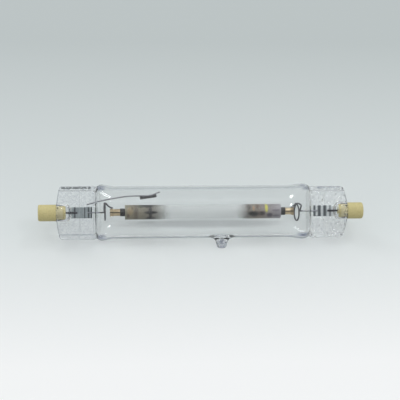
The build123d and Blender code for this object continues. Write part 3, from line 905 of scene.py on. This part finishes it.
def outer_ring(end, x, from_end=FAR_FROM_END):
    """One section of the bulb's outside."""
    length = end.pinch_line - end.tube_end
    along = (x - end.tube_end) / length
    pressed = pressed_share(end, x)
    width_here = smooth_through(SHOULDER_PLACES, SHOULDER_WIDTHS, along)
    thickness_here = smooth_through(SHOULDER_PLACES, SHOULDER_THICKNESSES, along)
    ring = []
    for step in range(AROUND):
        turn = step / AROUND * 4
        upper = turn <= 2
        front = turn <= 1 or turn >= 3
        part = turn % 2 if turn % 2 <= 1 else 2 - turn % 2
        angle = part * pi / 2
        y = width_here * sin(angle)
        z = thickness_here * cos(angle)
        x_here = x
        if pressed:
            blade_y, blade_z = blade_point(end, x, part, end.upper if upper else end.lower, from_end)
            y += (blade_y - y) * pressed
            z += (blade_z - z) * pressed
            bow = (end.blade_end - end.corner) * (y / end.upper) ** 2
            share = (x - end.pinch_line) / (end.blade_end - end.pinch_line)
            x_here = x - bow * max(share, 0.0) ** 2
        ring.append((end.side * x_here, y if upper else -y, z if front else -z))
    return ring


def socket_rings(end):
    """The cap's socket, from its mouth to the middle of its floor."""
    dome_start = end.socket_bottom + SOCKET_DOME_LENGTH
    profile = [(end.blade_end - 0.02, SOCKET_RADIUS), (dome_start, SOCKET_RADIUS)]
    for step in range(1, 14):
        angle = step / 14 * pi / 2
        profile.append((dome_start - SOCKET_DOME_LENGTH * sin(angle), SOCKET_RADIUS * cos(angle)))
    profile.append((end.socket_bottom, 0.02))
    return [oval(end.side * x, radius, radius, AROUND) for x, radius in profile]


def end_rings(end):
    """Rings from the middle of the socket's floor outward, over the blade, to the round tube."""
    rings = socket_rings(end)[::-1]
    for from_end in (0.0, 0.06, 0.2, 0.45, 0.8, 1.2, 1.6):
        rings.append(outer_ring(end, end.blade_end - from_end, from_end))
    for start, stop, count in (
        (end.blade_end - 1.95, end.pinch_line + 2.0, 72),
        (end.pinch_line + 1.8, end.pinch_line - 1.8, 19),
        (end.pinch_line - 2.1, end.tube_end, 29),
    ):
        rings += [outer_ring(end, x) for x in np.linspace(start, stop, count)]
    return rings


# Places along the tube with a ring of points, closer together at the exhaust tip
TUBE_PLACES = [
    *np.linspace(-LEFT.tube_end + 2, TIP_X - 16, 12),
    *np.linspace(TIP_X - 14, TIP_X + 14, 29),
    *np.linspace(TIP_X + 16, RIGHT.tube_end - 2, 8),
]


@dataclass
class Tip:
    """A surface of the exhaust tip, and the hole in the tube's grid that it fills.

    Each ring has half its length along the lamp, half its width round it, and its reach from the axis, where
    0 stays on the tube.
    """

    half_hole: float
    hole_steps: int
    peak: float
    rings: list


TIP_OUTSIDE = Tip(
    half_hole=13.0,
    hole_steps=16,
    peak=23.05,
    rings=[
        (11.0, 7.4, 0), (9.0, 6.2, 0), (7.4, 5.4, 0), (6.4, 4.95, 16.85),
        (5.5, 4.5, 17.15), (4.9, 4.2, 17.5), (4.3, 3.95, 18.1), (3.8, 3.75, 18.8),
        (3.55, 3.55, 19.6), (3.3, 3.3, 20.5), (3.05, 3.05, 21.3), (2.95, 2.95, 21.9),
        (2.6, 2.6, 22.6), (2.0, 2.0, 23.05), (1.3, 1.3, 23.18), (0.7, 0.7, 23.1),
    ],
)
TIP_INSIDE = Tip(
    half_hole=8.0,
    hole_steps=8,
    peak=20.4,
    rings=[
        (6.0, 5.0, 0), (4.0, 3.6, 0), (2.9, 2.8, 0), (2.3, 2.3, 15.1),
        (2.05, 2.05, 16.0), (1.7, 1.7, 17.4), (1.3, 1.3, 18.8), (0.9, 0.9, 19.8),
        (0.4, 0.4, 20.3),
    ],
)


def patch(vertices, faces, rim, layers):
    """Fills a hole in a grid: rim holds the hole's vertices in order, layers the rings inward."""
    before = rim
    for layer in layers:
        first = len(vertices)
        vertices.extend(layer)
        here = [first + step % len(layer) for step in range(len(rim))]
        for step in range(len(rim)):
            after = (step + 1) % len(rim)
            face = (before[step], before[after], here[after], here[step])
            faces.append(face if len(layer) > 1 else face[:3])
        before = here


def tip_layers(rim_points, tip, radius):
    """Rings of the exhaust tip, each with one point for every point of the rim, and its peak."""
    layers = []
    for half_length, half_width, reach in tip.rings:
        layer = []
        for x, y, z in rim_points:
            direction = atan2(z / TIP_RIM_WIDTH, (x - TIP_X) / TIP_RIM_LENGTH)
            across = half_width * sin(direction)
            on_tube = sqrt(radius**2 - across**2)
            layer.append((TIP_X + half_length * cos(direction), -(reach or on_tube), across))
        layers.append(layer)
    layers.append([(TIP_X, -tip.peak, 0.0)])
    return layers


def grid_with_tip(rings, around, radius, tip):
    """Surface from rings, with the exhaust tip let in at the tube's lower side."""
    first = next(i for i, ring in enumerate(rings) if ring[0][0] > TIP_X - tip.half_hole)
    last = max(i for i, ring in enumerate(rings) if ring[0][0] < TIP_X + tip.half_hole)
    middle = around * 3 // 4
    low, high = middle - tip.hole_steps, middle + tip.hole_steps
    vertices = [point for ring in rings for point in ring]
    faces = []
    for face in ring_faces(len(rings), around):
        row, step = divmod(face[0], around)
        if not (first <= row < last and low <= step < high):
            faces.append(face)
    rim = [first * around + step for step in range(low, high)]
    rim += [row * around + high for row in range(first, last)]
    rim += [last * around + step for step in range(high, low, -1)]
    rim += [row * around + low for row in range(last, first, -1)]
    patch(vertices, faces, rim, tip_layers([vertices[i] for i in rim], tip, radius))
    return vertices, faces


def faced(vertices, faces, way):
    """Faces of a closed surface, all turned outward for 1 and inward for -1."""
    points = np.asarray(vertices, float)
    volume = 0.0
    for face in faces:
        for step in range(1, len(face) - 1):
            a, b, c = points[face[0]], points[face[step]], points[face[step + 1]]
            volume += float(np.dot(a, np.cross(b, c)))
    return faces if volume * way > 0 else [face[::-1] for face in faces]


def wavy_tip(x, y, z):
    """Point on the exhaust tip, moved in or out by the glass's unevenness."""
    share = ease(-y, TIP_WAVES_START, TIP_WAVES_START + 1.2) * (1 - ease(-y, 22.4, 23.0))
    rate = TIP_WAVES_PER_MM
    lift = noise.noise(Vector((x * rate, y * rate, z * rate))) * TIP_WAVE_HEIGHT * share
    reach = max(hypot(x - TIP_X, z), 0.5)
    return x + (x - TIP_X) / reach * lift, y, z + z / reach * lift


def pressed_point(end, x, y, z):
    """Point on a pressed end, moved by the ripples that the press leaves."""
    reach = abs(x)
    inside = ease(reach, end.pinch_line + 0.6, end.pinch_line + 2.0)
    inside *= 1 - ease(reach, end.blade_end - 0.5, end.blade_end - 0.1)
    if not inside or hypot(y, z) <= SOCKET_RADIUS + 0.3:
        return x, y, z
    face = FRONT_IN_NOISE if z > 0 else 0
    grain = 0.0
    for number, (along, across, height) in enumerate(end.ripples):
        grain += noise.noise(Vector((x * along, y * across, face + 9 * number))) * height
    lift = (grain - PRESS_SINK) * inside
    if abs(y) > RAIL_FROM:
        edge = noise.noise(Vector((x * 0.8, 7, face / 9))) * end.edge_ripple - RAIL_SINK
        y += edge * inside * (1 if y > 0 else -1)
    return x, y, z + (lift if z > 0 else -lift)


def uneven(x, y, z):
    """Point on the outside of the bulb, moved by the unevenness of its place."""
    if y < -TIP_WAVES_START and abs(x - TIP_X) < TIP_WAVES_REACH:
        return wavy_tip(x, y, z)
    return pressed_point(LEFT if x < 0 else RIGHT, x, y, z)


def cavity_rings(end):
    """Sections of the vacuum from the tube into one shoulder."""
    length = end.pinch_line - end.tube_end
    widths = [value - BULB_WALL for value in SHOULDER_WIDTHS[:-1]] + [CAVITY_END_WIDTH]
    rings = []
    for x in np.linspace(end.tube_end, end.pinch_line + PRESS_BLEND, 52):
        along = (x - end.tube_end) / length
        width = smooth_through(SHOULDER_PLACES, widths, min(along, 1.0))
        outside = smooth_through(SHOULDER_PLACES, SHOULDER_THICKNESSES, along)
        outside += (PRESS_HALF_THICKNESS - outside) * pressed_share(end, x)
        rings.append(oval(end.side * x, width, max(outside - BULB_WALL, CLOSED_GAP), CAVITY_AROUND))
    return rings


def closed_surface(left_rings, right_rings, around, radius, tip, left_x, right_x):
    """Two ends joined by the tube, with the exhaust tip, and closed at these places on the axis."""
    rings = left_rings + [oval(x, radius, radius, around) for x in TUBE_PLACES] + right_rings[::-1]
    vertices, faces = grid_with_tip(rings, around, radius, tip)
    close_ends(vertices, faces, len(rings), around, left_x, right_x)
    return vertices, faces


def outer_bulb():
    """The whole quartz bulb: its outside with the sockets, and the vacuum's surface inside."""
    left_x, right_x = -LEFT.socket_bottom, RIGHT.socket_bottom
    vertices, faces = closed_surface(
        end_rings(LEFT), end_rings(RIGHT), AROUND, BULB_RADIUS, TIP_OUTSIDE, left_x, right_x
    )
    vertices = [uneven(*point) for point in vertices]
    faces = faced(vertices, faces, 1)
    left_rings = cavity_rings(LEFT)[::-1]
    right_rings = cavity_rings(RIGHT)[::-1]
    radius = BULB_RADIUS - BULB_WALL
    left_x, right_x = left_rings[0][0][0], right_rings[0][0][0]
    inner_vertices, inner_faces = closed_surface(
        left_rings, right_rings, CAVITY_AROUND, radius, TIP_INSIDE, left_x, right_x
    )
    start = len(vertices)
    for face in faced(inner_vertices, inner_faces, -1):
        faces.append(tuple(start + i for i in face))
    shape = draw("quartz_bulb", vertices + inner_vertices, faces, "quartz", "outer_bulb")
    with reworked(shape) as work:
        loose = [vertex for vertex in work.verts if not vertex.link_faces]
        bmesh.ops.delete(work, geom=loose, context="VERTS")


outer_bulb()


# Both ends


def cap(end):
    """Ceramic cap with its recess and spigot."""
    face = LAMP_LENGTH / 2
    floor = face - RECESS_DEPTH
    seat = floor - CONTACT_SEAT_DEPTH
    points = [
        (seat, LEAD_HOLE_RADIUS),
        (seat, CONTACT_RADIUS),
        (floor, CONTACT_RADIUS),
        (floor, RECESS_RADIUS),
        (face, RECESS_RADIUS),
        (face, CAP_RADIUS),
        (end.blade_end, CAP_RADIUS),
        (end.blade_end, SPIGOT_RADIUS),
        (end.spigot_end, SPIGOT_RADIUS),
        (end.spigot_end, LEAD_HOLE_RADIUS),
    ]
    radii = [0.05, 0.05, 0.05, 0.1, 0.25, 0.8, 0.15, 0.1, 1.8, 0.2]
    ring_at(end, "ceramic_cap", points, radii, 5, "cap_ceramic", "cap")


def cement(end):
    """Ring of cement round the spigot."""
    inner = end.spigot_end + CEMENT_SETBACK
    hole = SPIGOT_RADIUS + FIT_GAP
    points = [(inner, hole), (inner, CEMENT_RADIUS), (end.blade_end, CEMENT_RADIUS), (end.blade_end, hole)]
    ring_at(end, "cement_ring", points, [0.05] * 4, 2, "cement", "cement")


def contact(end):
    """Crowned contact button."""
    back = LAMP_LENGTH / 2 - RECESS_DEPTH - CONTACT_SEAT_DEPTH
    crown = CONTACT_RADIUS - 0.1
    profile = [
        (back, 0.0),
        (back, CONTACT_RADIUS - 0.05),
        (back + 0.1, CONTACT_RADIUS),
        (back + BUTTON_RIM, CONTACT_RADIUS),
        (back + CROWN_START, crown),
    ]
    for step in range(1, 9):
        share = 1 - step / 8
        profile.append((back + CROWN_START + CROWN_HEIGHT * (1 - share**2), crown * share))
    lathe_at(end, "button", profile, "contact_metal", "contact")


def outer_lead(end):
    """Wire from the contact to the foil."""
    stop = LAMP_LENGTH / 2 - RECESS_DEPTH - CONTACT_SEAT_DEPTH
    start = end.foil_outer - OUTER_LEAD_OVERLAP
    radius = OUTER_LEAD_RADIUS
    profile = [(start, 0.0), (start, radius - 0.1), (start + 0.1, radius), (stop, radius), (stop, 0.0)]
    lathe_at(end, "lead", profile, "lead_metal", "outer_lead", around=32)


def foil(end):
    """Thin foil with faint ripples."""
    inner = end.foil_outer - FOIL_LENGTH
    level = -OUTER_LEAD_RADIUS - FOIL_THICKNESS / 2
    across = [FOIL_WIDTH * (row / FOIL_ROWS - 0.5) for row in range(FOIL_ROWS + 1)]
    section = [(y, 0.5) for y in across] + [(y, -0.5) for y in across[::-1]]
    around = len(section)
    vertices = []
    for column in range(FOIL_COLUMNS + 1):
        x = inner + FOIL_LENGTH * column / FOIL_COLUMNS
        for y, side in section:
            ripple = 0.04 * noise.noise(Vector((x * 0.9, y * 0.12, end.side * 5)))
            vertices.append((end.side * x, y, level + side * FOIL_THICKNESS + ripple))
    faces = ring_faces(FOIL_COLUMNS + 1, around)
    for first in (0, FOIL_COLUMNS * around):
        for row in range(FOIL_ROWS):
            opposite = around - 1 - row
            faces.append((first + row, first + row + 1, first + opposite - 1, first + opposite))
    turn_outward(draw(f"{end.name}_seal_foil", vertices, faces, "foil_metal", f"{end.name}_foil"))


def loop_wire(end):
    """Wire from the foil through the expansion loop to the arc tube's metal end."""
    height = LOOP_WIRE_RADIUS - OUTER_LEAD_RADIUS
    start = end.foil_outer - FOIL_LENGTH + LOOP_WIRE_OVERLAP
    corners = [(x, 0, height) for x in (start, end.spoke_foot + 0.8, end.spoke_foot)]
    first = radians(end.loop_start)
    for share in (0.1, 0.5, 0.6, 0.7):
        x = end.spoke_foot + end.spoke_lean * min(share / SPOKE_BOW, 1.0)
        corners.append((x, share * LOOP_RADIUS * sin(first), share * LOOP_RADIUS * cos(first)))
    reach = LOOP_RADIUS / cos(pi / LOOP_POINTS)
    for number in range(round(end.loop_turns * LOOP_POINTS) + 1):
        angle = radians(end.loop_start + end.loop_way * number * 360 / LOOP_POINTS)
        z = reach * cos(angle)
        x = end.loop_plane - end.loop_pitch * number / LOOP_POINTS + end.loop_tilt * z
        corners.append((x, end.loop_shift + reach * sin(angle), z))
    joint = CRIMP_HALF_WIDTH + LOOP_WIRE_RADIUS
    corners += [(end.niobium_end + 0.2, joint, 0), (end.niobium_end - 1.8, joint, 0)]
    corners = [(end.side * x, y, z) for x, y, z in corners]
    wire(f"{end.name}_loop", corners, LOOP_WIRE_RADIUS, "loop_metal", f"{end.name}_loop_wire")


def niobium_tube(end):
    """Metal end tube: round in the plug, crimped flat outside."""
    inner = end.tube - NIOBIUM_INSET
    crimp = end.niobium_end - CRIMP_LENGTH
    radius = NIOBIUM_RADIUS
    sections = [(inner, radius - 0.1, radius - 0.1), (inner + 0.1, radius, radius), (crimp, radius, radius)]
    for step in range(1, 9):
        t = ease(step / 8, 0, 1)
        width = radius + (CRIMP_HALF_WIDTH - radius) * t
        thickness = radius + (CRIMP_HALF_THICKNESS - radius) * t
        sections.append((crimp + CRIMP_LENGTH * 0.7 * step / 8, width, thickness))
    sections.append((end.niobium_end, CRIMP_HALF_WIDTH, CRIMP_HALF_THICKNESS))
    around = 56
    vertices = []
    for x, width, thickness in sections:
        vertices += oval(end.side * x, width, thickness, around)
    faces = ring_faces(len(sections), around)
    close_ends(vertices, faces, len(sections), around, end.side * inner, end.side * end.niobium_end)
    turn_outward(draw(f"{end.name}_end_tube", vertices, faces, "niobium", f"{end.name}_niobium_tube"))


def end_collar(end):
    """Dark fused ring against the arc tube."""
    outer = end.tube + COLLAR_LENGTH
    hole = NIOBIUM_RADIUS + FIT_GAP
    points = [(end.tube, hole), (outer, hole), (outer, COLLAR_RADIUS), (end.tube, COLLAR_RADIUS)]
    ring_at(end, "seal_ring", points, [0.02, 0.02, 0.1, 0.05], 3, "collar", "end_collar")


def end_plug(end):
    """Alumina plug in the arc tube's end."""
    inner = end.tube - PLUG_LENGTH
    hole = NIOBIUM_RADIUS + FIT_GAP
    radius = ARC_TUBE_RADIUS - ARC_TUBE_WALL - FIT_GAP
    points = [(end.tube, hole), (end.tube, radius), (inner, radius), (inner, hole)]
    ring_at(end, "plug", points, [0.05, 0.05, 0.5, 0.05], 3, "plug_alumina", "end_plug")


def electrode(end):
    """Tungsten rod and the coil wound on it."""
    start = end.tube - NIOBIUM_INSET + 1.4
    coil_base = end.tube - COIL_TO_TUBE_END
    stop = coil_base - COIL_LENGTH - 0.9
    profile = [(start, 0.0), (start, ROD_RADIUS), (stop + 0.15, ROD_RADIUS), (stop, 0.45), (stop, 0.0)]
    lathe_at(end, "rod", profile, "tungsten", "electrode_rod", around=32)
    thickness = (COIL_RADIUS - ROD_RADIUS) / 2
    pitch = (COIL_LENGTH - 2 * thickness) / COIL_TURNS
    reach = (ROD_RADIUS + thickness) / cos(pi / COIL_POINTS)
    corners = []
    for number in range(COIL_TURNS * COIL_POINTS + 1):
        angle = 2 * pi * number / COIL_POINTS
        x = coil_base - thickness - pitch * number / COIL_POINTS
        corners.append((end.side * x, reach * sin(angle), reach * cos(angle)))
    wire(f"{end.name}_coil", corners, thickness, "tungsten_coil", f"{end.name}_electrode_coil")


for lamp_end in (LEFT, RIGHT):
    for make in (cap, cement, contact, outer_lead, foil, loop_wire, niobium_tube, end_collar, end_plug):
        make(lamp_end)
    electrode(lamp_end)


# Arc tube and getter

tube_inner = ARC_TUBE_RADIUS - ARC_TUBE_WALL
tube_outline = [
    (ARC_TUBE_LEFT, tube_inner),
    (ARC_TUBE_LEFT, ARC_TUBE_RADIUS),
    (ARC_TUBE_RIGHT, ARC_TUBE_RADIUS),
    (ARC_TUBE_RIGHT, tube_inner),
]
tube_profile = rounded(tube_outline, [0.1, 0.15, 0.15, 0.1], 3)
lathe("alumina_tube", tube_profile, "arc_alumina", "arc_tube", closed=True)
wire("getter_arm", GETTER_ROUTE, GETTER_WIRE_RADIUS, "getter_metal", "getter_wire")

for node, slot in (("getter_boat", "boat_metal"), ("getter_fill", "getter_fill"), ("amalgam", "amalgam")):
    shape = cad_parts[node]
    shape.data.materials.clear()
    shape.data.materials.append(materials[slot])


# Floor, light and camera


def floor():
    """Pale table top, a little lighter towards the viewer."""
    mesh = bpy.data.meshes.new("floor")
    corners = [(x * FLOOR_REACH, y * FLOOR_REACH, 0) for x, y in ((-1, -1), (1, -1), (1, 1), (-1, 1))]
    mesh.from_pydata(corners, [], [(0, 1, 2, 3)])
    shape = in_scene("floor", mesh)
    shape.location.z = -0.02 * MM
    tree, shader = new_material("floor")
    across = map_range(coordinates(tree)[1], 0.18, -0.18)
    lit = [(position, tuple(part * (1 - FLOOR_GLOW) for part in shade)) for position, shade in FLOOR_SHADES]
    surface(shader, ramp(across, lit), 0.9)
    shader.inputs["Specular IOR Level"].default_value = 0.1
    path = add_node(tree, "LightPath")
    seen = arithmetic("MAXIMUM", path.outputs["Is Camera Ray"], path.outputs["Is Glossy Ray"])
    seen = arithmetic("MAXIMUM", seen, path.outputs["Is Transmission Ray"])
    put(ramp(across, FLOOR_SHADES), shader.inputs["Emission Color"])
    put(product(seen, FLOOR_GLOW), shader.inputs["Emission Strength"])
    mesh.materials.append(materials["floor"])


def area_light(name, position, length, width, power, turn=(1, 0, 0)):
    """Soft rectangular lamp that faces the object, with its length along the turn direction."""
    light = bpy.data.lights.new(name, "AREA")
    light.shape = "RECTANGLE"
    light.size = length
    light.size_y = width
    light.energy = power
    away = Vector(position).normalized()
    along = Vector(turn)
    along = (along - away * along.dot(away)).normalized()
    across = away.cross(along)
    turned = Matrix((along, across, away)).transposed().to_4x4()
    in_scene(name, light).matrix_world = Matrix.Translation(position) @ turned


def studio():
    """Plain soft light: a world that is pale behind the lamp and dim in front of it, and soft boxes."""
    world = bpy.data.worlds.new("studio")
    bpy.context.scene.world = world
    world.use_nodes = True
    tree = world.node_tree
    depth = map_range(coordinates(tree, "Generated")[1], -0.7, 0.2)
    shade = ramp(depth, [(0.0, (0.52, 0.53, 0.54)), (1.0, (0.76, 0.79, 0.80))])
    background = tree.nodes["Background"]
    put(shade, background.inputs["Color"])
    put(0.96, background.inputs["Strength"])
    area_light("top_box", (0.0, -0.2, 1.5), 2.2, 1.8, 4.2)
    area_light("left_strip", (-0.70, 0.68, 0.79), 0.77, 0.09, 2.2, turn=(-0.52, 0.14, -0.54))
    area_light("right_box", (0.47, 0.58, 1.02), 0.17, 0.17, 1.3)
    area_light("right_low_box", (0.59, -0.22, 1.08), 0.15, 0.18, 1.1)
    area_light("left_spark", (-0.71, -0.86, 0.56), 0.08, 0.08, 0.35)


def camera():
    """The photograph's view: square to the flat pressed ends, turned a little towards the left end."""
    back = Vector((-sin(CAMERA_YAW), -cos(CAMERA_YAW) * cos(lean), cos(CAMERA_YAW) * sin(lean)))
    right = Vector((1, 0, 0)) - back * back.x
    right.normalize()
    up = back.cross(right)
    rolled_right = right * cos(CAMERA_ROLL) - up * sin(CAMERA_ROLL)
    rolled_up = right * sin(CAMERA_ROLL) + up * cos(CAMERA_ROLL)
    lens = bpy.data.cameras.new("camera")
    lens.sensor_width = SENSOR_WIDTH
    lens.lens = SENSOR_WIDTH * CAMERA_DISTANCE / PICTURE
    lens.shift_x = (PICTURE / 2 - LAMP_IN_PICTURE[0]) / PICTURE
    lens.shift_y = (LAMP_IN_PICTURE[1] - PICTURE / 2) / PICTURE
    lens.clip_start = 0.01
    lens.clip_end = 20
    shape = in_scene("camera", lens)
    turned = Matrix((rolled_right, rolled_up, back)).transposed().to_4x4()
    eye = LAMP.translation + back * (CAMERA_DISTANCE * POINT * MM)
    shape.matrix_world = Matrix.Translation(eye) @ turned
    bpy.context.scene.camera = shape


floor()
studio()
camera()

scene = bpy.context.scene
scene.view_settings.view_transform = "Standard"
scene.cycles.transparent_max_bounces = LIGHT_BOUNCES
scene.cycles.max_bounces = LIGHT_BOUNCES
scene.cycles.transmission_bounces = TRANSMISSION_BOUNCES
